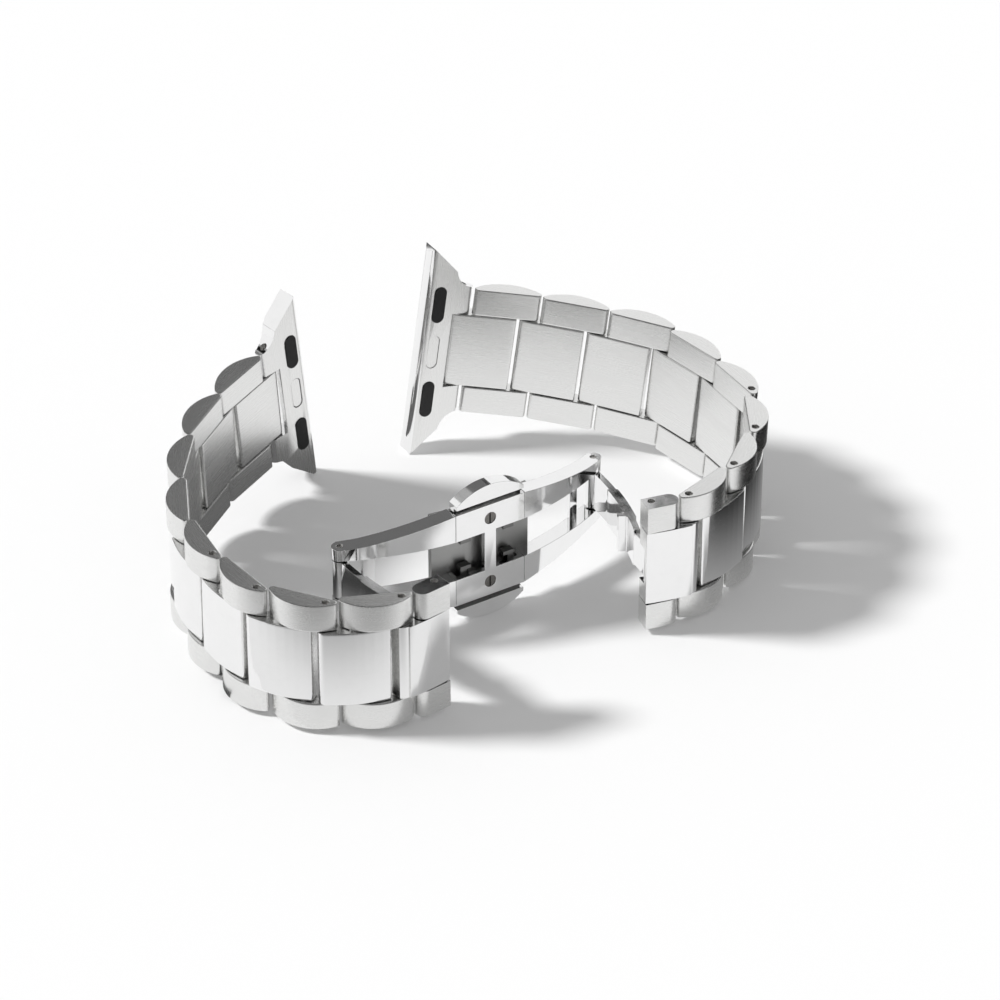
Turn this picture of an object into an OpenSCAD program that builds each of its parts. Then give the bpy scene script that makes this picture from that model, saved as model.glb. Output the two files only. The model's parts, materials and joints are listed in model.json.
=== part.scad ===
// Steel link bracelet for a wrist watch, standing on its edge with its butterfly clasp open.
// Millimetres. The band width is vertical, and the curve of the band lies in the XY plane.

/* [Band] */
// Width of the band, across the links
band_w = 20; // [18:0.5:24]
// Distance between neighbouring link pins
pitch = 10.2; // [9.8:0.1:12]
// Height of one side piece of a link, across the band
side_w = 4.1; // [3.8:0.1:4.6]
// Thickness of a side piece at its crown
link_t = 3.1; // [2.7:0.1:3.6]
// Thickness of a side piece at its rounded ends
nose_t = 1.3; // [1.2:0.05:1.6]
// Thickness of the middle piece of a link
core_t = 2.9; // [2.6:0.1:3.2]
// Depth of the pin centre below the wrist face
pin_inset = 0.95; // [0.9:0.05:1.2]
// How far a side piece reaches past its own pin
side_tail = 1.5; // [1.3:0.1:1.6]
// How far a side piece stays short of the next pin
side_lead = 1.8; // [1.8:0.1:2.4]
// Clear distance from a pin to the middle piece behind it
core_start = 1.7; // [1.6:0.05:2]
// Reach of the middle piece past the next pin
heel = 1.2; // [1.1:0.05:1.25]

/* [Pins] */
// Diameter of the link pins
pin_d = 1; // [0.8:0.05:1.1]
// Radial running clearance of a pin in a middle piece
bore_clear = 0.06; // [0.03:0.01:0.1]
// Depth of a removable pin below the band edge
pin_recess = 0.4; // [0.2:0.1:1]
// Steel left over the ends of a fixed pin
pin_skin = 1; // [0.6:0.1:1.6]
// Diameter of the hinge pins in the clasp arms
hinge_d = 0.9; // [0.7:0.05:1]

/* [End link] */
// Distance from the leaf pin to the next link pin
end_pitch = 5.6; // [5.4:0.1:7]
// Thickness of the flat end link
end_t = 2.8; // [2.5:0.1:3.2]
// Reach of the end link past the leaf pin
end_tail = 1.2; // [1.1:0.1:1.6]
// Length of the side pieces of the end link
end_side_l = 5; // [4.4:0.1:5.1]

/* [Clasp] */
// Radius of the curved clasp arms
bow_r = 48; // [44:1:54]
// Half distance between the two clasp hinges
hinge_x = 21; // [20.4:0.1:23]
// Height of the clasp box, across the band
box_h = 15; // [14.2:0.1:16]
// Length of the clasp box, along the band
box_l = 11.3; // [11:0.1:12]
// Thickness of the clasp box
box_t = 3.4; // [3.2:0.1:3.8]
// Thickness of the cover plate
cover_t = 0.8; // [0.6:0.1:0.9]
// Thickness of the floor plate
floor_t = 0.8; // [0.6:0.1:1.2]
// Half length of the floor plate
floor_x = 8; // [7.4:0.1:8.2]
// Thickness of the arms
arm_t = 2.4; // [2.3:0.1:2.6]
// Height of an arm at its hinge
arm_end_h = 10; // [9:0.2:11]
// Height of the windows in the arms and the cover
window_h = 6.3; // [6:0.1:6.5]
// Half thickness of the cover plate's cross piece
cross_x = 0.95; // [0.7:0.05:1.2]
// Rise of a push button above the clasp box
button_rise = 3.3; // [2.7:0.1:3.6]
// Inward travel of a push button
button_travel = 0.7; // [0.5:0.1:0.9]

/* [Leaves] */
// Width of a leaf, across the band
leaf_w = 5.9; // [5.4:0.1:6.1]
// Width of a leaf's tongue
tongue_w = 5.2; // [4.8:0.1:5.4]
// Thickness of a leaf at its ends
leaf_t = 0.9; // [0.7:0.05:1]
// Thickness of a leaf in its middle
leaf_mid_t = 1.4; // [1.1:0.1:1.5]
// Radius of the eye at the end of a leaf's tongue
eye_r = 0.9; // [0.8:0.05:0.95]
// Radius of the eye at the hinge end of a leaf
hinge_eye_r = 1.15; // [1:0.05:1.2]
// Gap between the box and a folded end link
fold_gap = 0.2; // [0.15:0.05:0.4]

/* [Lug connector] */
// Length of the slide-in bar, across the band
lug_l = 33; // [28:0.5:36]
// Distance from the pin to the outer edge of the bar
lug_reach = 6.3; // [6:0.1:7]
// Thickness of the lug connector
lug_t = 3; // [2.8:0.1:3.4]
// Thickness of the lug connector's ears at their rounded ends
lug_nose_t = 1.6; // [1.5:0.05:1.8]
// Height of a rubber pad
pad_l = 5.7; // [5:0.1:6.2]
// Width of a rubber pad
pad_w = 2; // [1.6:0.1:2.2]
// Distance from the middle of the bar to a pad
pad_z = 7.6; // [7.1:0.1:8]
// Height of the lock button
lock_l = 5.2; // [4.4:0.1:5.6]
// Width of the lock button
lock_w = 1.8; // [1.7:0.05:2.2]
// Inward travel of the lock button
lock_travel = 0.6; // [0.4:0.05:0.65]

/* [Pose] */
// Heading of the clasp base, in degrees
clasp_heading = 33.1; // [0:0.1:90]
// Opening of the left leaf from shut, in degrees
left_leaf_open = 64; // [3:0.1:120]
// Opening of the right leaf from shut, in degrees
right_leaf_open = 59.2; // [3:0.1:120]
// Opening of the left end link from its leaf, in degrees
left_end_open = 70.5; // [22:0.1:110]
// Opening of the right end link from its leaf, in degrees
right_end_open = 71.8; // [22:0.1:110]
// Climb of each left link over the one before, in degrees
left_climb = 1.1; // [0:0.02:1.4]
// Roll of each left link over the one before, in degrees
left_roll = -0.92; // [-1.5:0.02:1.5]
// Roll of each right link over the one before, in degrees
right_roll = 1.84; // [-2:0.02:2]

/* [Hidden] */
$fn = 64;

LEFT = -1;
RIGHT = 1;

// Bend of each link against the one nearer the clasp, from the lug connector (0) to link 8
left_bend = [12.4, 10.5, 18.5, 11.8, 21, 11.8, 29.1, 31.4, 30.8];
right_bend = [25.7, 11.2, 8, 29.5, 11.8, 29.1, 20.2, 22.1, 29.5];
// Links from this number down carry the small twist that lifts the lug connectors
last_twisted = 6;
// Pins of the links from this number up can be taken out
first_removable = 5;

// Place of the clasp box, so that the whole part stands on the origin
clasp_x = 1.875;
clasp_y = -9.118;
clasp_z = max(band_w / 2, box_h / 2 + button_rise);

side_gap = 0.12;
pin_fit = 0.02;
seam = 0.05;
over = 1;

ear_z = band_w / 2 - side_w;
core_w = 2 * (ear_z - side_gap);
core_sink = 0.1;
core_end_drop = 0.6;
bridge_bite = 0.2;
bridge_t = 2 * (side_gap + bridge_bite);
bridge_inset = 0.8;
heel_flat = 0.3;
bore_d = pin_d + 2 * bore_clear;

arm_x0 = box_l / 2 + seam;
bow_y = (arm_t - box_t) / 2 + sqrt(bow_r * bow_r - arm_x0 * arm_x0);
hinge_y = bow_y - sqrt(bow_r * bow_r - hinge_x * hinge_x);
end_face_gap = 0.25;
shut_pin_x = end_face_gap + end_tail;
shut_pin_y = -(box_t / 2 + fold_gap + pin_inset);

function bend_of(side, k) = side == LEFT ? left_bend[k] : right_bend[k];
function twist_of(side, k) =
    k > last_twisted ? [0, 0, 0] : (side == LEFT ? [left_roll, left_climb, 0] : [right_roll, 0, 0]);
function removable(k) = k == 0 || k >= first_removable;

// The clasp box's frame: x along the band, y to the wrist, z across the band
module at_clasp() {
    translate([clasp_x, clasp_y, clasp_z])
        rotate([0, 0, clasp_heading])
            children();
}

// One half of the clasp: x leads away from its middle, y to the wrist
module at_half(side) {
    at_clasp()
        rotate([0, side == LEFT ? 180 : 0, 0])
            children();
}

// The leaf, turned about its hinge
module at_leaf(side) {
    at_half(side)
        translate([hinge_x, hinge_y, 0])
            rotate([0, 0, side == LEFT ? left_leaf_open : right_leaf_open])
                children();
}

// The end link, turned about the leaf pin
module at_end_link(side) {
    at_leaf(side)
        translate([shut_pin_x - hinge_x, shut_pin_y - hinge_y, 0])
            rotate([0, 0, side == LEFT ? -left_end_open : -right_end_open])
                children();
}

// Link k, with its own pin at the origin and the next link towards +x
module at_link(side, k) {
    if (k > 8) {
        at_end_link(side) children();
    } else {
        at_link(side, k + 1)
            translate([k == 8 ? end_pitch : pitch, 0, 0])
                rotate(twist_of(side, k))
                    rotate([0, 0, bend_of(side, k)])
                        children();
    }
}

// Plan outline of a side piece: flat wrist face, arched outer face and round ends
module lens(x0, x1, crown_t, end_thickness) {
    nose_r = end_thickness / 2;
    middle = (x0 + x1) / 2;
    half = (x1 - x0) / 2 - nose_r;
    sag = crown_t - end_thickness;
    arc_r = (half * half + sag * sag) / (2 * sag);
    intersection() {
        translate([middle, pin_inset - crown_t + arc_r])
            circle(r = arc_r, $fn = 128);
        translate([middle - half, pin_inset - crown_t])
            square([2 * half, crown_t]);
    }
    for (x = [middle - half, middle + half]) {
        translate([x, pin_inset - nose_r])
            circle(r = nose_r);
    }
}

// Plan outline of a middle piece, with its heel round the pin at x = reach
module core_outline(x0, reach, thickness, drop) {
    middle = (x0 + reach + heel) / 2;
    half = (reach + heel - x0) / 2;
    arc_r = (half * half + drop * drop) / (2 * drop);
    heel_r = heel + heel_flat;
    depth = thickness - core_sink;
    intersection() {
        translate([middle, pin_inset - thickness + arc_r])
            circle(r = arc_r, $fn = 160);
        union() {
            translate([x0, pin_inset - thickness])
                square([reach - x0, depth]);
            intersection() {
                translate([reach, 0])
                    circle(r = heel_r);
                translate([reach - over, pin_inset - thickness])
                    square([heel + over, depth]);
            }
        }
    }
}

// An upright slab of the given plan outline, centred across the band
module slab(height) {
    linear_extrude(height = height, center = true)
        children();
}

// Both side pieces, one at each edge of the band
module both_sides() {
    for (z = [-1, 1]) {
        translate([0, 0, z * (band_w - side_w) / 2])
            slab(side_w)
                children();
    }
}

// The joints between side pieces and middle piece, set back from every face
module bridges(x0, x1) {
    for (z = [-1, 1]) {
        translate([(x0 + x1) / 2, pin_inset - link_t / 2, z * (ear_z - side_gap / 2)])
            cube([x1 - x0, link_t / 2, bridge_t], center = true);
    }
}

// The hole for link k's own pin, through its ears
module ear_hole(k) {
    length = removable(k) ? band_w + 2 * over : band_w - 2 * pin_skin;
    cylinder(d = pin_d + 2 * pin_fit, h = length, center = true);
}

// The bore for the next link's pin, in line with that link's ears
module heel_bore(side, k, reach) {
    translate([reach, 0, 0])
        rotate(twist_of(side, k))
            cylinder(d = bore_d, h = core_w + 2 * over, center = true);
}

module link(side, k) {
    side_x0 = -side_tail;
    side_x1 = pitch - side_lead;
    color("silver")
        at_link(side, k)
            difference() {
                union() {
                    both_sides()
                        lens(side_x0, side_x1, link_t, nose_t);
                    slab(core_w)
                        core_outline(core_start, pitch, core_t, core_end_drop);
                    bridges(core_start + bridge_inset, side_x1 - bridge_inset);
                }
                ear_hole(k);
                heel_bore(side, k - 1, pitch);
            }
}

module link_pin(side, k) {
    length = removable(k) ? band_w - 2 * pin_recess : band_w - 2 * pin_skin - 2 * seam;
    slot_l = 5;
    slot_w = 0.2;
    color("gainsboro")
        at_link(side, k)
            difference() {
                cylinder(d = pin_d, h = length, center = true);
                if (removable(k)) {
                    translate([0, 0, length / 2])
                        cube([slot_w, pin_d + over, 2 * slot_l], center = true);
                }
            }
}

module end_link(side) {
    side_r = end_t / 2;
    flat_l = end_side_l - side_r;
    tongue_gap = 0.25;
    slot_run = 3.2;
    eye_gap = 0.1;
    plate_drop = 0.2;
    end_bridge_inset = 0.5;
    slot_w = tongue_w + 2 * tongue_gap;
    slot_depth = pin_inset + eye_r + eye_gap;
    color("silver")
        at_end_link(side)
            difference() {
                union() {
                    both_sides() {
                        translate([-end_tail, pin_inset - end_t])
                            square([flat_l, end_t]);
                        translate([flat_l - end_tail, pin_inset - side_r])
                            circle(r = side_r);
                    }
                    slab(core_w)
                        core_outline(-end_tail, end_pitch, end_t, plate_drop);
                    bridges(end_bridge_inset - end_tail, flat_l - end_tail);
                }
                ear_hole(9);
                heel_bore(side, 8, end_pitch);
                translate([-end_tail - over, pin_inset - slot_depth, -slot_w / 2])
                    cube([end_tail + slot_run + over, slot_depth + over, slot_w]);
            }
}

module leaf_pin(side) {
    color("gainsboro")
        at_end_link(side)
            cylinder(d = pin_d, h = band_w - 2 * pin_recess, center = true);
}

// The leaf's bow runs from its hinge to the foot of its tongue, both on one circle
tongue_foot_x = 5.1;
tongue_foot_y = -(box_t / 2 - leaf_t / 2);
bow_dx = tongue_foot_x - hinge_x;
bow_dy = tongue_foot_y - hinge_y;
bow_chord = sqrt(bow_dx * bow_dx + bow_dy * bow_dy);
bow_rise = sqrt(bow_r * bow_r - bow_chord * bow_chord / 4);
leaf_cx = (tongue_foot_x + hinge_x) / 2 + bow_dy / bow_chord * bow_rise;
leaf_cy = (tongue_foot_y + hinge_y) / 2 - bow_dx / bow_chord * bow_rise;
leaf_mid_x0 = 8.4;
leaf_mid_x1 = 15.6;
leaf_rib_x = 8.6;
leaf_rib_t = 0.8;
leaf_rib_depth = leaf_mid_t + 0.7;

// A curved strip between two distances from the middle, about the leaf's own centre
module leaf_strip(x0, x1, thickness, width, outward) {
    outer_r = bow_r + leaf_t / 2 + outward;
    intersection() {
        translate([leaf_cx, leaf_cy, 0])
            difference() {
                cylinder(r = outer_r, h = width, center = true, $fn = 256);
                cylinder(r = outer_r - thickness, h = width + over, center = true, $fn = 256);
            }
        translate([x0, -box_t, -width])
            cube([x1 - x0, box_t + hinge_y + over, 2 * width]);
    }
}

module leaf(side) {
    tongue_dx = tongue_foot_x - shut_pin_x;
    tongue_dy = tongue_foot_y - shut_pin_y;
    tongue_l = sqrt(tongue_dx * tongue_dx + tongue_dy * tongue_dy);
    color("gainsboro")
        at_leaf(side)
            translate([-hinge_x, -hinge_y, 0])
                difference() {
                    union() {
                        leaf_strip(tongue_foot_x, hinge_x, leaf_t, leaf_w, 0);
                        leaf_strip(leaf_mid_x0, leaf_mid_x1, leaf_mid_t, leaf_w, (leaf_mid_t - leaf_t) / 2);
                        leaf_strip(leaf_rib_x, leaf_rib_x + leaf_rib_t, leaf_rib_depth, leaf_w, 0);
                        translate([tongue_foot_x, tongue_foot_y, 0])
                            cylinder(d = leaf_t, h = tongue_w, center = true);
                        translate([shut_pin_x, shut_pin_y, 0])
                            rotate([0, 0, atan2(tongue_dy, tongue_dx)])
                                translate([0, -leaf_t / 2, -tongue_w / 2])
                                    cube([tongue_l, leaf_t, tongue_w]);
                        translate([shut_pin_x, shut_pin_y, 0])
                            cylinder(r = eye_r, h = tongue_w, center = true);
                        translate([hinge_x, hinge_y, 0])
                            cylinder(r = hinge_eye_r, h = leaf_w, center = true);
                    }
                    translate([shut_pin_x, shut_pin_y, 0])
                        cylinder(d = bore_d, h = band_w, center = true);
                    translate([hinge_x, hinge_y, 0])
                        cylinder(d = hinge_d + 2 * bore_clear, h = band_w, center = true);
                }
}

module hinge_pin(side) {
    recess = 0.15;
    color("gainsboro")
        at_half(side)
            translate([hinge_x, hinge_y, 0])
                cylinder(d = hinge_d, h = arm_end_h - 2 * recess, center = true);
}

// A curved wall about the base's own centre, between two radii, of the full box height
module bowed_wall(inner_r, outer_r) {
    translate([0, bow_y, 0])
        difference() {
            cylinder(r = outer_r, h = box_h, center = true, $fn = 256);
            cylinder(r = inner_r, h = box_h + over, center = true, $fn = 256);
        }
}

arm_inner_r = bow_r - arm_t / 2;
arm_outer_r = bow_r + arm_t / 2;
bar_from_hinge = 3.2;
bar_l = 1.6;
bar_t = 0.6;
bar_x1 = hinge_x - bar_from_hinge;
bar_x0 = bar_x1 - bar_l;
bar_outer_r = arm_inner_r + bar_t;

module arm(side) {
    taper_l = 2.8;
    taper_rise = 0.3;
    taper_x = hinge_x - taper_l;
    taper_z = arm_end_h / 2 + taper_rise;
    color("silver")
        at_half(side)
            difference() {
                union() {
                    intersection() {
                        bowed_wall(arm_inner_r, arm_outer_r);
                        rotate([-90, 0, 0])
                            translate([0, 0, -box_t])
                                linear_extrude(height = 2 * box_t + hinge_y)
                                    polygon([
                                        [arm_x0, -box_h / 2],
                                        [taper_x, -taper_z],
                                        [hinge_x, -arm_end_h / 2],
                                        [hinge_x, arm_end_h / 2],
                                        [taper_x, taper_z],
                                        [arm_x0, box_h / 2]
                                    ]);
                        union() {
                            for (z = [-1, 1]) {
                                translate([box_l, 0, z * (window_h + box_h) / 2])
                                    cube([4 * hinge_x, 4 * hinge_x, box_h], center = true);
                            }
                            bowed_wall(arm_inner_r - over, bar_outer_r);
                        }
                    }
                    for (z = [-1, 1]) {
                        translate([hinge_x, hinge_y, z * (arm_end_h + window_h) / 4])
                            cylinder(r = arm_t / 2, h = (arm_end_h - window_h) / 2, center = true);
                    }
                }
                translate([0, -box_t, -window_h / 2])
                    cube([bar_x0, 2 * box_t + hinge_y, window_h]);
                translate([bar_x1, -box_t, -window_h / 2])
                    cube([hinge_x, 2 * box_t + 2 * hinge_y, window_h]);
                translate([hinge_x, hinge_y, 0])
                    cylinder(d = hinge_d + 2 * pin_fit, h = band_w, center = true);
            }
}

screw_z = 5.25;
post_d = 2.2;
screw_d = 1;
screw_head_d = 1.8;
screw_head_t = 0.6;
floor_y = bow_y - arm_inner_r;
ledge_x = 2.25;
ledge_z = 3.3;
ledge_t = 0.3;
ledge_w = 1.2;
ledge_front = 0.8;
spring_d = 0.8;
spring_bore = spring_d + 0.15;
spring_wire = 0.16;
slip = 0.15;
back_gap = 0.1;
leg_t = box_t / 2 - cover_t + floor_y - slip;
spring_y = floor_y - back_gap - leg_t / 2;
spring_l = 1.9;
moon_tuck = 0.35;
moon_base = box_h / 2 - button_travel - moon_tuck;

module floor_plate() {
    edge_inset = 0.7;
    color("darkgray")
        at_clasp()
            difference() {
                union() {
                    intersection() {
                        bowed_wall(arm_inner_r - floor_t, arm_inner_r);
                        cube([2 * floor_x, 4 * box_t, box_h - 2 * edge_inset], center = true);
                    }
                    for (z = [-screw_z, screw_z]) {
                        translate([0, floor_y + floor_t / 2, z])
                            rotate([90, 0, 0])
                                cylinder(d = post_d, h = floor_y + floor_t / 2 + box_t / 2 - cover_t);
                    }
                    for (x = [-ledge_x, ledge_x], z = [-1, 1]) {
                        translate([x - ledge_w / 2, -ledge_front, z * (ledge_z + ledge_t / 2) - ledge_t / 2])
                            cube([ledge_w, floor_y + floor_t / 2 + ledge_front, ledge_t]);
                    }
                }
                for (z = [-screw_z, screw_z]) {
                    translate([0, box_t, z])
                        rotate([90, 0, 0])
                            cylinder(d = screw_d + 2 * pin_fit, h = 2 * box_t);
                }
            }
}

// The polished cover, shaped like an H, with short side walls between cover and floor
module cover_plate() {
    rail_h = (box_h - window_h) / 2;
    wall_t = 0.6;
    wall_h = moon_base - button_travel - seam - window_h / 2;
    wall_y = bow_y - sqrt(pow(arm_inner_r, 2) - pow(box_l / 2 - wall_t, 2)) - seam;
    color("silver")
        at_clasp()
            difference() {
                union() {
                    for (z = [-1, 1]) {
                        translate([0, -(box_t - cover_t) / 2, z * (box_h - rail_h) / 2])
                            cube([box_l, cover_t, rail_h], center = true);
                    }
                    translate([0, -(box_t - cover_t) / 2, 0])
                        cube([2 * cross_x, cover_t, window_h + over], center = true);
                    for (x = [-1, 1], z = [-1, 1]) {
                        translate([
                            x * (box_l - wall_t) / 2,
                            (wall_y - box_t / 2) / 2,
                            z * (window_h + wall_h) / 2
                        ])
                            cube([wall_t, wall_y + box_t / 2, wall_h], center = true);
                    }
                }
                for (z = [-screw_z, screw_z]) {
                    translate([0, 0, z])
                        rotate([90, 0, 0])
                            cylinder(d = screw_d + 2 * pin_fit, h = box_t);
                    translate([0, -box_t / 2 + screw_head_t, z])
                        rotate([90, 0, 0])
                            cylinder(d = screw_head_d + 2 * pin_fit, h = box_t);
                }
            }
}

module cover_screws() {
    head_sunk = 0.1;
    slot_w = 0.25;
    slot_depth = 0.25;
    head_y = head_sunk - box_t / 2;
    shaft_l = box_t / 2 + floor_y + floor_t / 2;
    color("gray")
        at_clasp()
            for (z = [-screw_z, screw_z]) {
                translate([0, head_y, z])
                    rotate([-90, 0, 0])
                        difference() {
                            union() {
                                cylinder(d = screw_head_d, h = screw_head_t - head_sunk);
                                cylinder(d = screw_d, h = shaft_l);
                            }
                            cube([slot_w, screw_head_d + over, 2 * slot_depth], center = true);
                        }
            }
}

// A push button: the half-moon outside the box, and its neck, two legs and two hooks inside it
module button(up) {
    leg_inset = 1.05;
    moon_x = box_l / 2 - slip;
    chord_z = box_h / 2;
    moon_low = chord_z + button_travel + seam;
    moon_side = 0.6;
    moon_t = floor_y - back_gap + box_t / 2;
    moon_h = chord_z + button_rise - moon_low - moon_side;
    moon_r = (moon_x * moon_x + moon_h * moon_h) / (2 * moon_h);
    leg_x = box_l / 2 - leg_inset;
    leg_end = ledge_z + ledge_t + button_travel + seam;
    slot_x = post_d / 2 + slip;
    slot_end = screw_z + post_d / 2 + button_travel + back_gap;
    hook_x = 3.4;
    hook_w = 1;
    hook_end = 1.9;
    hook_nose = 0.7;
    hook_tip = 0.6;
    color("silver")
        at_clasp()
            mirror([0, 0, up > 0 ? 0 : 1])
                difference() {
                    union() {
                        translate([0, floor_y - back_gap, 0])
                            rotate([90, 0, 0])
                                linear_extrude(height = moon_t)
                                    intersection() {
                                        translate([0, chord_z + button_rise - moon_r])
                                            circle(r = moon_r, $fn = 128);
                                        translate([-moon_x, moon_low])
                                            square([2 * moon_x, button_rise]);
                                    }
                        translate([0, floor_y - back_gap, 0])
                            rotate([90, 0, 0])
                                linear_extrude(height = leg_t) {
                                    translate([-moon_x, moon_base])
                                        square([2 * moon_x, moon_low + moon_side / 2 - moon_base]);
                                    translate([-leg_x, leg_end])
                                        square([2 * leg_x, moon_base - leg_end]);
                                    for (s = [-1, 1]) {
                                        translate([s * (hook_x + hook_w / 2) - hook_w / 2, hook_end])
                                            square([hook_w, leg_end - hook_end + over]);
                                        translate([s * (hook_x - hook_nose / 2) - hook_nose / 2, hook_end])
                                            square([hook_nose, hook_tip]);
                                    }
                                }
                    }
                    translate([-slot_x, -box_t, 0])
                        cube([2 * slot_x, 2 * box_t, slot_end]);
                    for (s = [-1, 1]) {
                        translate([s * ledge_x, spring_y, 0])
                            cylinder(d = spring_bore, h = leg_end + spring_l);
                    }
                }
}

// A helical compression spring on z, as one tube of six sides
function coil_points(d, wire, turns, length) = [
    for (i = [0 : turns * 8], j = [0 : 5])
        let (
            a = i * 45,
            r = (d - wire) / 2 + wire / 2 * cos(j * 60),
            z = wire / 2 + (length - wire) * i / (turns * 8) + wire / 2 * sin(j * 60)
        )
        [r * cos(a), r * sin(a), z]
];

module coil(d, wire, turns, length) {
    last = turns * 8;
    polyhedron(
        points = coil_points(d, wire, turns, length),
        faces = concat(
            [[for (j = [0 : 5]) j]],
            [[for (j = [5 : -1 : 0]) last * 6 + j]],
            [for (i = [0 : last - 1], j = [0 : 5]) [i * 6 + j, (i + 1) * 6 + j, i * 6 + (j + 1) % 6]],
            [for (i = [0 : last - 1], j = [0 : 5])
                [i * 6 + (j + 1) % 6, (i + 1) * 6 + j, (i + 1) * 6 + (j + 1) % 6]]
        )
    );
}

module button_springs() {
    color("dimgray")
        at_clasp()
            for (x = [-ledge_x, ledge_x], z = [0, 1]) {
                mirror([0, 0, z])
                    translate([x, spring_y, ledge_z + ledge_t])
                        coil(spring_d, spring_wire, 5, spring_l);
            }
}

face_from_edge = 2.2;
lug_face_x = lug_reach - face_from_edge;
flare_r = 3.2;
shoulder_x = core_start;
shoulder_out = band_w / 2 + 2.7;
tip_cut = 0.5;
lock_depth = 2.1;
lock_t = 1.3;
lock_sunk = 0.1;
lock_roof = 0.45;
pad_depth = 0.7;
lug_spring_d = 1;
lug_spring_bore = lug_spring_d + 0.2;

// A rounded slot outline standing across the band, cut or filled from the wrist face
module oval(length, width, depth) {
    translate([0, pin_inset, 0])
        rotate([90, 0, 0])
            linear_extrude(height = depth)
                union() {
                    square([width, length - width], center = true);
                    for (s = [-1, 1]) {
                        translate([0, s * (length - width) / 2])
                            circle(r = width / 2);
                    }
                }
}

// Outline of the lug connector, seen from the wrist: ears, flared shoulders and the slide-in bar
module lug_outline() {
    flare_x = shoulder_x - flare_r;
    flare_z = band_w / 2 + flare_r;
    difference() {
        union() {
            for (s = [-1, 1]) {
                translate([-side_tail, s * (ear_z + band_w / 2) / 2 - side_w / 2])
                    square([lug_reach / 2 + side_tail, side_w]);
            }
            polygon([
                [lug_reach, tip_cut - lug_l / 2],
                [lug_reach, lug_l / 2 - tip_cut],
                [lug_reach - tip_cut, lug_l / 2],
                [shoulder_x, shoulder_out],
                [flare_x + flare_r / 8, flare_z],
                [flare_x + flare_r / 8, band_w / 2 - tip_cut],
                [shoulder_x, ear_z],
                [shoulder_x, -ear_z],
                [flare_x + flare_r / 8, tip_cut - band_w / 2],
                [flare_x + flare_r / 8, -flare_z],
                [shoulder_x, -shoulder_out],
                [lug_reach - tip_cut, -lug_l / 2]
            ]);
        }
        for (s = [-1, 1]) {
            translate([flare_x, s * flare_z])
                circle(r = flare_r);
        }
    }
}

module lug(side) {
    chamfer = 0.45;
    lip_r = 1.1;
    slope_past = 0.6;
    nose_r = lug_nose_t / 2;
    nose_x = nose_r - side_tail;
    color("silver")
        at_link(side, 0)
            difference() {
                intersection() {
                    rotate([90, 0, 0])
                        linear_extrude(height = 4 * lug_t, center = true)
                            lug_outline();
                    linear_extrude(height = lug_l + over, center = true)
                        union() {
                            translate([nose_x, pin_inset - nose_r])
                                circle(r = nose_r);
                            translate([lug_reach - lip_r, pin_inset - lip_r])
                                circle(r = lip_r);
                            polygon([
                                [nose_x, pin_inset],
                                [nose_x, pin_inset - lug_nose_t],
                                [core_start + slope_past, pin_inset - lug_t],
                                [lug_reach - chamfer, pin_inset - lug_t],
                                [lug_reach, pin_inset - lug_t + 2 * chamfer],
                                [lug_reach, pin_inset - lip_r],
                                [lug_reach - lip_r, pin_inset]
                            ]);
                        }
                }
                ear_hole(0);
                translate([lug_face_x, 0, 0]) {
                    oval(lock_l, lock_w, lock_depth);
                    for (s = [-1, 1]) {
                        translate([0, 0, s * pad_z])
                            oval(pad_l, pad_w, pad_depth);
                    }
                }
            }
}

module lug_pads(side) {
    proud = 0.12;
    color("black")
        at_link(side, 0)
            for (s = [-1, 1]) {
                translate([lug_face_x, proud, s * pad_z])
                    oval(pad_l - 2 * pin_fit, pad_w - 2 * pin_fit, pad_depth + proud);
            }
}

module lug_lock(side) {
    color("silver")
        at_link(side, 0)
            translate([lug_face_x, 0, 0])
                difference() {
                    translate([0, -lock_sunk, 0])
                        oval(lock_l - 2 * seam, lock_w - 2 * seam, lock_t);
                    translate([0, pin_inset - lock_sunk - lock_roof, 0])
                        rotate([90, 0, 0])
                            cylinder(d = lug_spring_bore, h = lock_depth);
                }
}

module lug_spring(side) {
    pressed_l = lock_depth - lock_sunk - lock_roof - lock_travel - seam;
    color("dimgray")
        at_link(side, 0)
            translate([lug_face_x, pin_inset - lock_depth, 0])
                rotate([-90, 0, 0])
                    coil(lug_spring_d, spring_wire, 3, pressed_l);
}

cover_plate();
floor_plate();
arm(LEFT);  // left_arm
arm(RIGHT);  // right_arm
cover_screws();
button(1);  // upper_button
button(-1);  // lower_button
button_springs();
hinge_pin(LEFT);  // left_hinge_pin
hinge_pin(RIGHT);  // right_hinge_pin
leaf(LEFT);  // left_leaf
leaf(RIGHT);  // right_leaf
leaf_pin(LEFT);  // left_leaf_pin
leaf_pin(RIGHT);  // right_leaf_pin
end_link(LEFT);  // left_end_link
end_link(RIGHT);  // right_end_link
for (k = [1 : 8]) {
    link(LEFT, k);
    link_pin(LEFT, k);
    link(RIGHT, k);
    link_pin(RIGHT, k);
}
lug(LEFT);  // left_lug
lug(RIGHT);  // right_lug
link_pin(LEFT, 0);  // left_lug_pin
link_pin(RIGHT, 0);  // right_lug_pin
lug_pads(LEFT);  // left_lug_pads
lug_pads(RIGHT);  // right_lug_pads
lug_lock(LEFT);  // left_lug_lock
lug_lock(RIGHT);  // right_lug_lock
lug_spring(LEFT);  // left_lug_spring
lug_spring(RIGHT);  // right_lug_spring
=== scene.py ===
import json
import math

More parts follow.
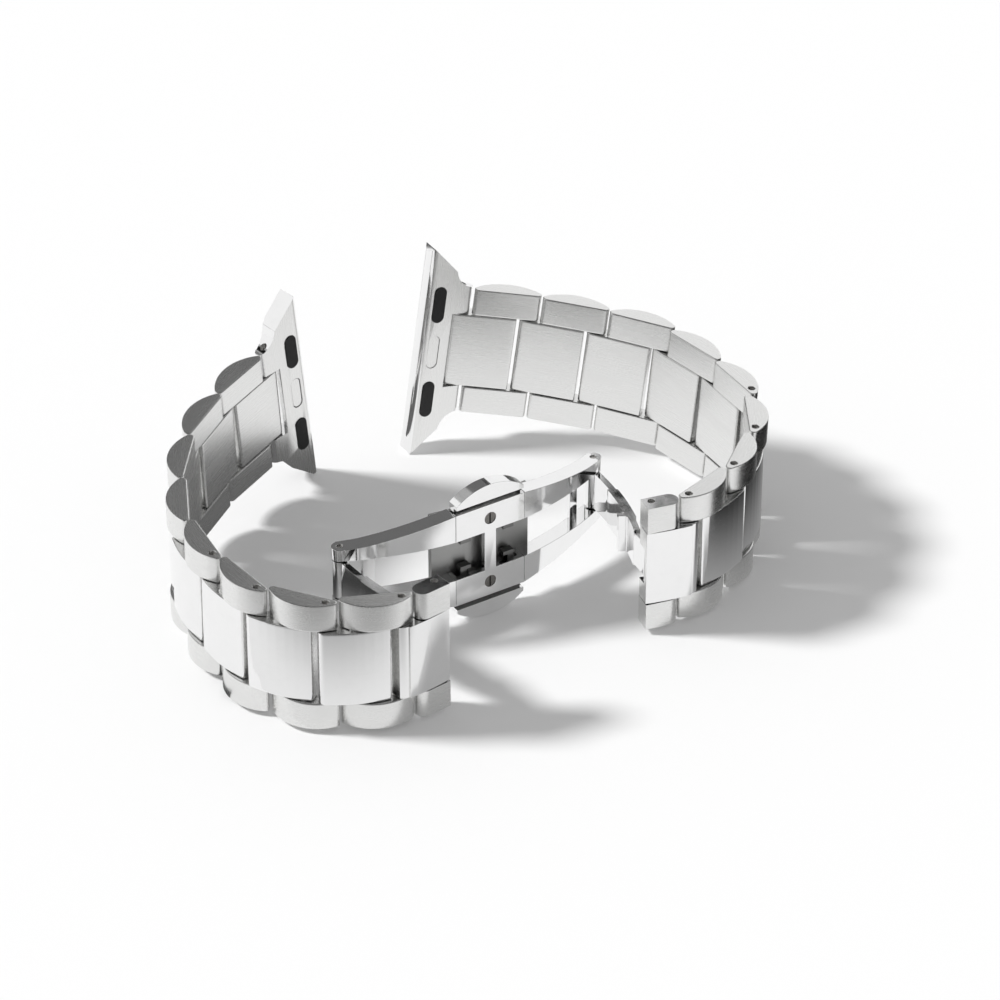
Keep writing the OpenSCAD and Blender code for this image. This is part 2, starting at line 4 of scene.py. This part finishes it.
import bmesh
import bpy
import numpy as np
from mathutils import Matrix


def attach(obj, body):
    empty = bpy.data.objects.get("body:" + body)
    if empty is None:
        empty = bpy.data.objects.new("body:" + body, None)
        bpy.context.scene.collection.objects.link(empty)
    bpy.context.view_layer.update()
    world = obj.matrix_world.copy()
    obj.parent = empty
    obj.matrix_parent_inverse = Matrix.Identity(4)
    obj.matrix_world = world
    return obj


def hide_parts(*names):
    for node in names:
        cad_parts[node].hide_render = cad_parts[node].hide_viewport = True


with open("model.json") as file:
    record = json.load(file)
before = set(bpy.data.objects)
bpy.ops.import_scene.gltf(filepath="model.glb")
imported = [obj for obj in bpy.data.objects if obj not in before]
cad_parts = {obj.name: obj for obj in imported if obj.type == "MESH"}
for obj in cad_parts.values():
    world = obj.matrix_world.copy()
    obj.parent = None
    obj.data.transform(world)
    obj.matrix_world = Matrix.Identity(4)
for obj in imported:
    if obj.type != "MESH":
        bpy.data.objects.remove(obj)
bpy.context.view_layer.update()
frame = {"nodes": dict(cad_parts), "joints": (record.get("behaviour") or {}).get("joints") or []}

# Links. Each is one block of stainless steel, milled to two arched side pieces and a middle
# piece that reaches between the next link's ears. The sides are brushed along the band and
# the outer face of the middle is polished. A pin through the ears holds the next link.
MM = 0.001
joints = {joint["child"]: joint for joint in frame["joints"]}
SIDES = ("left", "right")


def chain(side, k):
    """Name of the body at place k of one half: the lug connector is 0, the end link is 9."""
    return f"{side}_lug" if k == 0 else f"{side}_end_link" if k == 9 else f"{side}_link_{k}"


def placement(origin, along, across):
    """Three rows of four: a local x along the band, z across it and y = z cross x to the wrist."""
    z = np.array(across, float) / np.linalg.norm(across)
    x = np.array(along, float) - np.dot(along, z) * z
    x = x / np.linalg.norm(x)
    return np.column_stack([x, np.cross(z, x), z, origin])


def link_place(side, k):
    """A link's own pin is its origin, and the next pin lies on its x axis."""
    here = joints[chain(side, k)]
    onward = np.subtract(joints[chain(side, k - 1)]["pos_m"], here["pos_m"])
    return placement(here["pos_m"], onward, np.array(here["axis"]) * (-1 if k == 9 else 1))


def bow(cx, cy, radius, start, stop, count):
    """Arc points (cx + radius cos a, cy + radius sin a) for a from start to stop in degrees."""
    a = np.radians(np.linspace(start, stop, count))
    return np.column_stack([cx + radius * np.cos(a), cy + radius * np.sin(a)])


def line(a, b, count):
    """Points evenly spaced from a to b, without the two ends."""
    return a + np.linspace(0, 1, count + 2)[1:-1, None] * np.subtract(b, a)


ARC_POINTS, NOSE_POINTS, FLAT_POINTS = 33, 15, 22


def arched_outline(x0, x1, crown, nose, wrist):
    """Plan of a side piece: flat to the wrist, a round nose at each end, and an outer arc of
    radius R that touches both noses, with (R - crown + nose)^2 + half^2 = (R - nose)^2."""
    middle, half = (x0 + x1) / 2, (x1 - x0) / 2 - nose
    drop = crown - nose
    big = (half**2 + drop**2 - nose**2) / (2 * (drop - nose))
    cy = wrist - crown + big
    reach = math.degrees(math.asin(half / (big - nose)))
    return np.vstack([
        bow(middle, cy, big, -90 - reach, -90 + reach, ARC_POINTS),
        bow(middle + half, wrist - nose, nose, -90 + reach, 90, NOSE_POINTS)[1:],
        line((middle + half, wrist), (middle - half, wrist), FLAT_POINTS),
        bow(middle - half, wrist - nose, nose, 90, 270 - reach, NOSE_POINTS)[:-1],
    ])


def slab(outline, low, high, ease, hole=None):
    """Rings of an upright slab. A ring is outline(u) - inset * normal(u) at one height, and inset
    and height follow a quarter circle of radius ease at both rims. With a hole (x, y, r), the
    flat ends run on to the circle of points hole + r * unit(outline - hole) and down its wall,
    with a bevel of 0.4 ease at both mouths."""
    tangent = np.roll(outline, -1, 0) - np.roll(outline, 1, 0)
    normal = np.column_stack([tangent[:, 1], -tangent[:, 0]])
    normal /= np.linalg.norm(normal, axis=1)[:, None]
    turn = np.linspace(0, math.pi / 2, 5)
    inset = np.concatenate([[2 * ease], ease * (1 - np.sin(turn)), [0]])
    drop = np.concatenate([[0], ease * (1 - np.cos(turn)), [2 * ease]])
    inset = np.concatenate([inset, inset[::-1]])
    height = np.concatenate([high - drop, low + drop[::-1]])
    plan = outline - inset[:, None, None] * normal
    if hole is not None:
        centre, radius, lip = hole[:2], hole[2], ease * 0.4
        away = outline - centre
        unit = away / np.linalg.norm(away, axis=1)[:, None]
        rim, wall = centre + unit * (radius + lip), centre + unit * radius
        steps = np.array([0.3, 0.7])[:, None, None]
        upper = plan[:1] + steps * (rim - plan[:1])
        lower = plan[-1:] + steps * (rim - plan[-1:])
        plan = np.concatenate([plan, lower, [rim, wall, wall, rim], upper[::-1]])
        bore = [low, low, low, low + lip, high - lip, high, high, high]
        height = np.concatenate([height, bore])
    heights = np.broadcast_to(height[:, None, None], plan.shape[:2] + (1,))
    return np.concatenate([plan, heights], 2)[::-1]


def grid_faces(rings, looped):
    """Four-sided faces between neighbouring rings, each ring closed in u. The last ring joins the
    first, or else a flat face closes each end."""
    rows, columns = rings.shape[:2]
    v, u = np.meshgrid(np.arange(rows if looped else rows - 1), np.arange(columns), indexing="ij")
    around = ((0, 0), (0, 1), (1, 1), (1, 0))
    corners = [((v + dv) % rows) * columns + (u + du) % columns for dv, du in around]
    faces = np.stack(corners, -1).reshape(-1, 4).tolist()
    if not looped:
        faces.append(np.arange(columns)[::-1].tolist())
        faces.append(((rows - 1) * columns + np.arange(columns)).tolist())
    return faces


def assemble(name, parts, place, body, nodes, finishes):
    """One object from several grids of rings in millimetres, set at its place. The attribute
    grain keeps each point's own (along, to the wrist, across) in millimetres for the finish."""
    points, faces, start = [], [], 0
    for rings, looped in parts:
        faces += [[start + i for i in face] for face in grid_faces(rings, looped)]
        points.append(rings.reshape(-1, 3))
        start += len(points[-1])
    local = np.concatenate(points)
    mesh = bpy.data.meshes.new(name)
    mesh.from_pydata((local * MM @ place[:, :3].T + place[:, 3]).tolist(), [], faces)
    dress(name, mesh, local, place, body, nodes, finishes)


SEED_STEP, SHARP_ANGLE = 7.3, 40


def dress(name, mesh, local, place, body, nodes, finishes):
    """Gives a mesh its grain attribute, its finishes by the local direction and place of each
    face, its body and the CAD nodes that it stands for. The grain is shifted along
    the band by SEED_STEP millimetres times a number from the name, so that neighbouring links
    don't show the same lines. Edges sharper than SHARP_ANGLE degrees stay sharp."""
    grain = mesh.attributes.new("grain", "FLOAT_VECTOR", "POINT")
    seed = sum(map(ord, name)) % 97
    grain.data.foreach_set("vector", (local + [SEED_STEP * seed, 0, 0]).astype(np.float32).ravel())
    facing = np.empty(len(mesh.polygons) * 3)
    mesh.polygons.foreach_get("normal", facing)
    centre = np.empty(len(mesh.polygons) * 3)
    mesh.polygons.foreach_get("center", centre)
    facing = facing.reshape(-1, 3) @ place[:, :3]
    centre = (centre.reshape(-1, 3) - place[:, 3]) @ place[:, :3] / MM
    chosen = np.zeros(len(mesh.polygons), np.int32)
    for index, (finish, where) in enumerate(finishes):
        mesh.materials.append(finish)
        if where is not None:
            chosen[where(facing, centre)] = index
    mesh.polygons.foreach_set("material_index", chosen)
    mesh.shade_smooth()
    mesh.set_sharp_from_angle(angle=math.radians(SHARP_ANGLE))
    piece = bpy.data.objects.new(name, mesh)
    bpy.context.scene.collection.objects.link(piece)
    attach(piece, body)
    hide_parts(*nodes)
    return piece


def linear(colour):
    """sRGB hex to linear: c / 12.92 below 0.04045, else ((c + 0.055) / 1.055) ** 2.4."""
    c = np.array([int(colour[i:i + 2], 16) for i in (1, 3, 5)]) / 255
    return tuple(np.where(c <= 0.04045, c / 12.92, ((c + 0.055) / 1.055) ** 2.4)) + (1.0,)


def add(tree, kind, links=None, **settings):
    """Adds one node: settings that name a socket set its value, others set the node, and links
    join another node's output to a socket."""
    item = tree.nodes.new("ShaderNode" + kind)
    for key, value in settings.items():
        if hasattr(item, key):
            setattr(item, key, value)
        else:
            item.inputs[key.replace("_", " ")].default_value = value
    for socket, source in (links or {}).items():
        tree.links.new(source, item.inputs[socket])
    return item


def blank(name):
    """A new material with an empty node tree."""
    finish = bpy.data.materials.new(name)
    finish.use_nodes = True
    finish.node_tree.nodes.clear()
    return finish


def metal(name, colour, rough, streaks, coarse, strength, depth, spread):
    """A metal with two noises in lines per millimetre along, to the wrist and across: streaks,
    with a bump of depth millimetres at the given strength, and a coarse one for uneven wear.
    Their sum, mostly 0.6 to 1.4, sets the colour between the two given, and the roughness from
    rough - spread to rough + spread."""
    finish = blank(name)
    tree = finish.node_tree
    where = add(tree, "Attribute", attribute_name="grain").outputs["Vector"]
    fine = add(tree, "Mapping", {"Vector": where}, Scale=streaks)
    lines = add(tree, "TexNoise", {"Vector": fine.outputs[0]}, Scale=1.0, Detail=4.0,
                Roughness=0.65)
    wide = add(tree, "Mapping", {"Vector": where}, Scale=coarse)
    wear = add(tree, "TexNoise", {"Vector": wide.outputs[0]}, Scale=1.0, Detail=2.0,
               Roughness=0.5)
    both = add(tree, "Math", {0: lines.outputs["Fac"], 1: wear.outputs["Fac"]}, operation="ADD")
    to_rough = add(tree, "MapRange", {0: both.outputs[0]}, From_Min=0.6, From_Max=1.4,
                   To_Min=rough - spread, To_Max=rough + spread)
    bump = add(tree, "Bump", {"Height": lines.outputs["Fac"]}, Strength=strength,
               Distance=depth * MM)
    tint = add(tree, "Mix", {"Factor": both.outputs[0]}, data_type="RGBA")
    light, dark = linear(colour[0]), linear(colour[1])
    tint.inputs[6].default_value, tint.inputs[7].default_value = dark, light
    shader = add(tree, "BsdfPrincipled", {
        "Base Color": tint.outputs[2], "Roughness": to_rough.outputs[0], "Normal": bump.outputs[0],
    }, Metallic=1.0)
    add(tree, "OutputMaterial", {"Surface": shader.outputs[0]})
    return finish


# Brushed on a belt: a soft grey with fine lines along the band. Real lines are finer still, and
# these are as coarse as they need to be to show.
brushed = metal("brushed stainless steel", ("#E4E4E3", "#D2D2D1"), 0.27, (0.2, 18.0, 18.0),
                (0.1, 0.4, 0.4), 0.05, 0.008, 0.03)
# Polished on a mop: almost a mirror, with faint hairlines along the band, coarser than real ones.
polished = metal("mirror polished stainless steel", ("#EFEFEF", "#E6E6E6"), 0.08,
                 (0.6, 12.0, 12.0), (0.5, 0.5, 0.5), 0.06, 0.004, 0.03)

# In millimetres on a link's own axes: along the band from its pin, to the wrist, and across.
PITCH, WRIST, BAND_HALF = 10.2, 0.95, 10.0
SIDE_START, SIDE_END, SIDE_LOW = -1.5, 8.4, 5.9
SIDE_THICK, SIDE_NOSE, SIDE_EASE = 3.1, 0.65, 0.13
EAR_BORE, HEEL_BORE = 0.52, 0.56
FIRST_OPEN_LINK = 5
side_plan = arched_outline(SIDE_START, SIDE_END, SIDE_THICK, SIDE_NOSE, WRIST)

CORNER_POINTS, STRAIGHT_STEP = 7, 0.35


def rounded(corners, radii):
    """Closed outline with each corner replaced by an arc of its radius that touches both sides,
    and points along the straights between the arcs."""
    corners = np.array(corners, float)
    outline = []
    for i, (corner, radius) in enumerate(zip(corners, radii)):
        back, on = corners[i - 1] - corner, corners[(i + 1) % len(corners)] - corner
        back, on = back / np.linalg.norm(back), on / np.linalg.norm(on)
        half = math.acos(np.clip(np.dot(back, on), -1, 1)) / 2
        centre = corner + (back + on) / np.linalg.norm(back + on) * radius / math.sin(half)
        first = corner + back * radius / math.tan(half) - centre
        last = corner + on * radius / math.tan(half) - centre
        a0, a1 = math.atan2(first[1], first[0]), math.atan2(last[1], last[0])
        a1 += 2 * math.pi if a1 < a0 - 1e-9 else 0
        outline.append(bow(*centre, radius, math.degrees(a0), math.degrees(a1), CORNER_POINTS))
    filled = []
    for i, arc in enumerate(outline):
        onward = outline[(i + 1) % len(outline)][0]
        gap = np.linalg.norm(onward - arc[-1])
        filled += [arc, line(arc[-1], onward, max(1, int(gap / STRAIGHT_STEP)))]
    return np.vstack(filled)


def core_plan(x0, reach, heel, thick, drop):
    """Plan of a middle piece: an outer arc whose radius is (half^2 + drop^2) / (2 drop), eased
    corners, and a rounder heel at the pin."""
    x1 = reach + heel
    middle, half = (x0 + x1) / 2, (x1 - x0) / 2
    radius = (half**2 + drop**2) / (2 * drop)
    face, inner = WRIST - thick, WRIST - 0.1
    x = half * np.linspace(-0.8, 0.8, 7)
    arc = np.column_stack([middle + x, face + radius - np.sqrt(radius**2 - x**2)])
    corners = np.vstack([
        [(x0, inner), (x0, face + drop)], arc, [(x1, face + drop), (x1, inner)],
    ])
    return rounded(corners, [0.3, 0.3] + [6.0] * len(arc) + [0.9, 0.6])


MIDDLE_START, HEEL, MIDDLE_THICK, MIDDLE_CROWN = 1.7, 1.2, 2.9, 0.6
MIDDLE_HALF, MIDDLE_EASE = 5.78, 0.15
middle_plan = core_plan(MIDDLE_START, PITCH, HEEL, MIDDLE_THICK, MIDDLE_CROWN)

# A bar inside the block joins the middle piece to both sides.
BAR_CORNERS = [(2.6, 0.0), (2.6, -1.3), (7.2, -1.3), (7.2, 0.0)]
BAR_HALF, BAR_ROUND, BAR_EASE = 6.1, 0.2, 0.1
bar_plan = rounded(BAR_CORNERS, [BAR_ROUND] * 4)


def outward(facing, centre):
    """Faces of the middle piece that look away from the wrist."""
    return (facing[:, 1] < -0.3) & (np.abs(centre[:, 2]) < SIDE_LOW - 0.05)


for side in SIDES:
    for k in range(1, 9):
        bored = k >= FIRST_OPEN_LINK
        hole = (0.0, 0.0, EAR_BORE) if bored else None
        parts = [
            (slab(side_plan, SIDE_LOW, BAND_HALF, SIDE_EASE, hole), bored),
            (slab(side_plan, -BAND_HALF, -SIDE_LOW, SIDE_EASE, hole), bored),
            (slab(middle_plan, -MIDDLE_HALF, MIDDLE_HALF, MIDDLE_EASE,
                  (PITCH, 0.0, HEEL_BORE)), True),
            (slab(bar_plan, -BAR_HALF, BAR_HALF, BAR_EASE), False),
        ]
        assemble(f"{side}_link_{k}_steel", parts, link_place(side, k), chain(side, k),
                 [f"{side}_link_{k}"], [(brushed, None), (polished, outward)])


# End links. The same steel, flat and thicker at the clasp end, with a channel on the wrist side
# for the leaf's tongue. The long middle plate is polished and stands apart from short sides.
ROUND_STEPS, ROUND_ANGLE = 3, 32
MERGE_REACH, FLAT_ANGLE = 2e-6, 0.7
STRAIGHT_ON = 0.9


def eased(node, name, ease, place, body, finishes):
    """A copy of a CAD solid with its corners rounded: loose triangles are merged at points within
    MERGE_REACH metres, faces flat to FLAT_ANGLE degrees made whole, and each edge sharper than
    ROUND_ANGLE degrees gets a round of radius ease."""
    work = bmesh.new()
    work.from_mesh(frame["nodes"][node].data)
    bmesh.ops.remove_doubles(work, verts=work.verts, dist=MERGE_REACH)
    bmesh.ops.dissolve_limit(work, angle_limit=math.radians(FLAT_ANGLE), verts=work.verts,
                             edges=work.edges)
    mesh = bpy.data.meshes.new(name)
    work.to_mesh(mesh)
    work.free()
    spots = np.empty(len(mesh.vertices) * 3)
    mesh.vertices.foreach_get("co", spots)
    local = (spots.reshape(-1, 3) - place[:, 3]) @ place[:, :3] / MM
    piece = dress(name, mesh, local, place, body, [node], finishes)
    rounds = piece.modifiers.new("rounds", "BEVEL")
    rounds.width, rounds.segments, rounds.limit_method = ease * MM, ROUND_STEPS, "ANGLE"
    rounds.angle_limit, rounds.harden_normals = math.radians(ROUND_ANGLE), True
    rounds.use_clamp_overlap = True


def end_top(facing, centre):
    """The outer edges of the end link's short sides, which are polished like the clasp."""
    return np.abs(facing[:, 2]) > STRAIGHT_ON


for side in SIDES:
    eased(f"{side}_end_link", f"{side}_end_link_steel", 0.15, link_place(side, 9), chain(side, 9),
          [(brushed, None), (polished, outward), (polished, end_top)])


# Lug connectors. A wide bar that slides into the watch case, milled in one piece with the two
# ears of the last link. Its rounded ends and bevels are polished and the wrist face is brushed.
def lug_place(side):
    """The lock button moves straight away from the wrist, so its axis gives the local y."""
    here = joints[f"{side}_lug"]
    to_wrist = -np.array(joints[f"{side}_lug_lock"]["axis"])
    return placement(here["pos_m"], np.cross(to_wrist, here["axis"]), here["axis"])


def to_wrist_side(facing, centre):
    """The flat wrist face of the bar."""
    return facing[:, 1] > STRAIGHT_ON


# Brushed the other way: the same soft grey and coarse lines, but across the band, along the bar.
cross_brushed = metal("cross-brushed stainless steel", ("#E4E4E3", "#D2D2D1"), 0.27,
                      (18.0, 18.0, 0.2), (0.4, 0.4, 0.1), 0.05, 0.008, 0.03)

for side in SIDES:
    eased(f"{side}_lug", f"{side}_lug_steel", 0.2, lug_place(side), f"{side}_lug",
          [(polished, None), (cross_brushed, to_wrist_side)])
    eased(f"{side}_lug_lock", f"{side}_lock_button", 0.12, lug_place(side), f"{side}_lug_lock",
          [(cross_brushed, None)])


# Clasp. Two curved frames of polished steel are soldered to a box with an H-shaped cover. Two
# leaves swing out of the frames, and a half-moon button on each edge lets their latches go.
def leaf_place(side):
    """The hinge is the origin, and x leads from the end link's pin to the hinge."""
    here = joints[f"{side}_leaf"]
    tip = joints[f"{side}_end_link"]["pos_m"]
    return placement(here["pos_m"], np.subtract(here["pos_m"], tip), here["axis"])


BUTTON_LEG_END = 5.3


def inside(facing, centre):
    """The part of a push button that lies within the box: its leg and latch hooks."""
    return np.abs(centre[:, 2]) < BUTTON_LEG_END


hinges = [np.array(joints[f"{side}_leaf"]["pos_m"]) for side in SIDES]
base_place = placement((hinges[0] + hinges[1]) / 2, hinges[1] - hinges[0], (0, 0, 1))

for side in SIDES:
    eased(f"{side}_leaf", f"{side}_leaf_steel", 0.12, leaf_place(side), f"{side}_leaf",
          [(polished, None)])
    eased(f"{side}_arm", f"{side}_arm_steel", 0.2, base_place, "clasp_base",
          [(polished, None)])
eased("cover_plate", "cover_steel", 0.12, base_place, "clasp_base",
      [(polished, None)])
# Dull steel for the leg and hooks inside the box, darker than the mirror faces round it: painted
# shade.
inner_steel_with_painted_shade = metal("tumbled stainless steel", ("#7A7A79", "#5C5C5B"), 0.3, (3.0, 3.0, 3.0),
                (0.4, 0.4, 0.4), 0.05, 0.006, 0.05)
for edge in ("upper", "lower"):
    eased(f"{edge}_button", f"{edge}_button_steel", 0.15, base_place, f"{edge}_button",
          [(polished, None), (inner_steel_with_painted_shade, inside)])
# Bead blasted: even and matte, with a grain of a tenth of a millimetre, a little coarser than the
# real one.
blasted = metal("bead blasted steel", ("#A8A8A7", "#8A8A89"), 0.4, (9.0, 9.0, 9.0),
                (0.3, 0.3, 0.3), 0.2, 0.01, 0.06)
eased("floor_plate", "floor_steel", 0.08, base_place, "clasp_base",
      [(blasted, None)])


# Small parts that keep their CAD shape. The pins and screws are turned, the springs are wound from
# drawn wire, and the pads that hold the bar tight in its slot are moulded rubber.
GRIT_DEPTH, GRIT_SPREAD = 0.02, 0.05


def plain(name, colour, metallic, rough, scale, strength):
    """A finish on Object coordinates. Noise of the given scale, in grains per metre and mostly
    0.3 to 0.7, sets the colour between the two given, the height, and the roughness from
    rough - GRIT_SPREAD to rough + GRIT_SPREAD."""
    finish = blank(name)
    tree = finish.node_tree
    where = add(tree, "TexCoord").outputs["Object"]
    grit = add(tree, "TexNoise", {"Vector": where}, Scale=scale, Detail=3.0)
    tint = add(tree, "Mix", {"Factor": grit.outputs["Fac"]}, data_type="RGBA")
    light, dark = linear(colour[0]), linear(colour[1])
    tint.inputs[6].default_value, tint.inputs[7].default_value = dark, light
    to_rough = add(tree, "MapRange", {0: grit.outputs["Fac"]}, From_Min=0.3, From_Max=0.7,
                   To_Min=rough - GRIT_SPREAD, To_Max=rough + GRIT_SPREAD)
    bump = add(tree, "Bump", {"Height": grit.outputs["Fac"]}, Strength=strength,
               Distance=GRIT_DEPTH * MM)
    shader = add(tree, "BsdfPrincipled", {
        "Base Color": tint.outputs[2], "Roughness": to_rough.outputs[0], "Normal": bump.outputs[0],
    }, Metallic=metallic)
    add(tree, "OutputMaterial", {"Surface": shader.outputs[0]})
    return finish


# Turned: bright, with a slight grain that breaks up its highlights.
turned = plain("turned stainless steel", ("#CFCDCA", "#8E8C89"), 1.0, 0.28, 4000.0, 0.1)
# Drawn and hardened: a darker grey for the springs; on the screws it is painted shade in their
# bores.
spring_steel_and_screw_shade = plain("drawn spring steel", ("#8D8B88", "#5F5D5A"), 1.0, 0.35, 5000.0, 0.1)
# Moulded: nearly black, with a dull skin.
rubber = plain("moulded black rubber", ("#1B1B1C", "#0F0F10"), 0.0, 0.62, 2500.0, 0.25)
for node, solid in frame["nodes"].items():
    # On the screws the darker spring steel grey is painted shade.
    dark = "spring" in node or "screw" in node
    finish = rubber if "pads" in node else spring_steel_and_screw_shade if dark else turned
    solid.data.materials.clear()
    solid.data.materials.append(finish)

# Floor: one sheet of white paper, just below the bracelet, with its soft shadow. A little light of
# its own, seen only by the camera and in the steel, lifts it to the photograph's white. Its reach
# and drop are in metres.
FLOOR_REACH, FLOOR_DROP = 3, 0.00002
CAMERA_LIFT, GLOSSY_LIFT = 0.08, 0.1
span = np.linspace(-FLOOR_REACH, FLOOR_REACH, 3)
sheet = bpy.data.meshes.new("floor")
flat = np.stack(np.meshgrid(span, span, [-FLOOR_DROP], indexing="ij"), -1).reshape(-1, 3)
sheet.from_pydata(flat.tolist(), [], [[0, 3, 4, 1], [1, 4, 5, 2], [3, 6, 7, 4], [4, 7, 8, 5]])
floor = bpy.data.objects.new("floor", sheet)
bpy.context.scene.collection.objects.link(floor)
paper = blank("white paper sheet")
tree = paper.node_tree
rays = add(tree, "LightPath")
glow = add(tree, "Math", {0: rays.outputs["Is Camera Ray"]}, operation="MULTIPLY")
glow.inputs[1].default_value = CAMERA_LIFT
shine = add(tree, "Math", {0: rays.outputs["Is Glossy Ray"], 2: glow.outputs[0]},
            operation="MULTIPLY_ADD")
shine.inputs[1].default_value = GLOSSY_LIFT
matte = add(tree, "BsdfDiffuse", Color=linear("#E6E6E6"))
lift = add(tree, "Emission", {"Strength": shine.outputs[0]}, Color=(1, 1, 1, 1))
total = add(tree, "AddShader", {0: matte.outputs[0], 1: lift.outputs[0]})
add(tree, "OutputMaterial", {"Surface": total.outputs[0]})
sheet.materials.append(paper)

# Light: a white room for the camera, which lights the bracelet at less than half that level, and
# a soft key lamp from the left at 41 degrees. The lamp itself doesn't show in the steel.
ROOM_LIGHT = 0.45
world = bpy.data.worlds.new("studio")
bpy.context.scene.world = world
world.use_nodes = True
tree = world.node_tree
tree.nodes.clear()
rays = add(tree, "LightPath")
level = add(tree, "MapRange", {0: rays.outputs["Is Camera Ray"]}, From_Min=0.0, From_Max=1.0,
            To_Min=ROOM_LIGHT, To_Max=1.0)
room = add(tree, "Background", {"Strength": level.outputs[0]}, Color=(1, 1, 1, 1))
add(tree, "OutputWorld", {"Surface": room.outputs[0]})

KEY_TILT, KEY_TURN = -49, -4
sun = bpy.data.lights.new("key lamp", "SUN")
sun.energy, sun.angle = 3.4, math.radians(11)
key = bpy.data.objects.new("key lamp", sun)
bpy.context.scene.collection.objects.link(key)
key.rotation_euler = (0, math.radians(KEY_TILT), math.radians(KEY_TURN))
key.visible_glossy = False

# Cards and cloths. They stand for a photographer's reflectors and flags: only the steel sees
# them, as reflections. White sheets hang at the left and behind the right half, a grey cloth
# behind the left half, and dark ones over the top, in front and at the right.
def card(name, low, high, colour, fade=None):
    """A flat card between two opposite corners in millimetres, square to the axes. With fade
    (axis, from, to, share, last share) its light goes from one share to the other along the
    axis as 3 t^2 - 2 t^3."""
    level_axis = [a == b for a, b in zip(low, high)].index(True)
    u, v = [axis for axis in range(3) if axis != level_axis]
    corners = np.tile(np.array(low, float), (4, 1))
    corners[1:3, u], corners[2:4, v] = high[u], high[v]
    mesh = bpy.data.meshes.new(name)
    mesh.from_pydata((corners * MM).tolist(), [], [[0, 1, 2, 3]])
    sheet = bpy.data.objects.new(name, mesh)
    bpy.context.scene.collection.objects.link(sheet)
    sheet.visible_camera = sheet.visible_diffuse = sheet.visible_shadow = False
    paint = blank(name)
    tree = paint.node_tree
    glow = add(tree, "Emission", Color=linear(colour), Strength=1.0)
    if fade:
        axis, start, stop, first, last = fade
        spot = add(tree, "SeparateXYZ", {0: add(tree, "TexCoord").outputs["Object"]})
        share = add(tree, "MapRange", {0: spot.outputs[axis]}, interpolation_type="SMOOTHSTEP",
                    From_Min=start * MM, From_Max=stop * MM, To_Min=first, To_Max=last)
        tree.links.new(share.outputs[0], glow.inputs["Strength"])
    add(tree, "OutputMaterial", {"Surface": glow.outputs[0]})
    mesh.materials.append(paint)


card("left sheet", (-420, -350, 20), (-420, 300, 420), "#FFFFFF")
card("back sheet", (-3, 332, 20), (500, 332, 420), "#FFFFFF")
card("back cloth", (-420, 330, 60), (-3, 330, 420), "#6C6C6C")
card("roof cloth", (-420, -250, 520), (200, 330, 520), "#181818")
card("front cloth", (-260, -425, 20), (330, -425, 330), "#1C1C1C")
card("right cloth", (330, -420, 5), (330, 250, 330), "#161616")

# Narrow strips before the back sheet and cloth. They give the clasp its dark and bright edges.
STRIP_Y, BLACK = 329, "#080808"
for x0, x1, z0, z1, colour in (
    (-12, 7, 228, 250, BLACK), (38, 51, 237, 252, BLACK), (26, 37, 214, 240, BLACK),
    (-18, -5, 254, 276, BLACK), (-27, -22, 226, 252, "#F0F0F0"), (-17, -15, 226, 252, "#C8C8C8"),
):
    card("strip", (x0, STRIP_Y, z0), (x1, STRIP_Y, z1), colour)

# Low cards, flat above the paper. They brighten the wrist faces of the right half, shade those of
# the left half and the left leaf, and give middle pieces at the right and in front a gradient.
LOW, LOW_RIGHT = 0.5, 0.6
card("low middle card", (-14, -6, LOW), (36, 34, LOW), "#FFFFFF")
card("low left card", (-38, 2, LOW), (-15, 34, LOW), "#6A6A6A")
card("low leaf card", (-35, -32, LOW), (-17, -9, LOW), "#FFFFFF", ("X", -33, -20, 0.05, 0.4))
card("low right card", (36, -13, LOW_RIGHT), (200, 110, LOW_RIGHT), "#FFFFFF",
     ("X", 36, 64, 0.35, 0.02))
card("low front card", (-80, -160, LOW), (80, -40, LOW), "#F4F4F4", ("Y", -42, -74, 1.0, 0.4))

# Camera: a long lens from the front, 64 cm away and looking down by 33 degrees. Place and lens were
# fitted to the photograph together with the links.
LOOK_DOWN, LOOK_LEFT = 32.89, 0.04
camera = bpy.data.cameras.new("camera")
camera.sensor_width, camera.lens = 36.0, 160.74
camera.clip_start, camera.clip_end = 0.01, 20.0
viewer = bpy.data.objects.new("camera", camera)
bpy.context.scene.collection.objects.link(viewer)
viewer.location = (4.49 * MM, -528.7 * MM, 354.1 * MM)
viewer.rotation_euler = (math.radians(90 - LOOK_DOWN), 0, math.radians(LOOK_LEFT))
bpy.context.scene.camera = viewer
bpy.context.scene.view_settings.view_transform = "Standard"
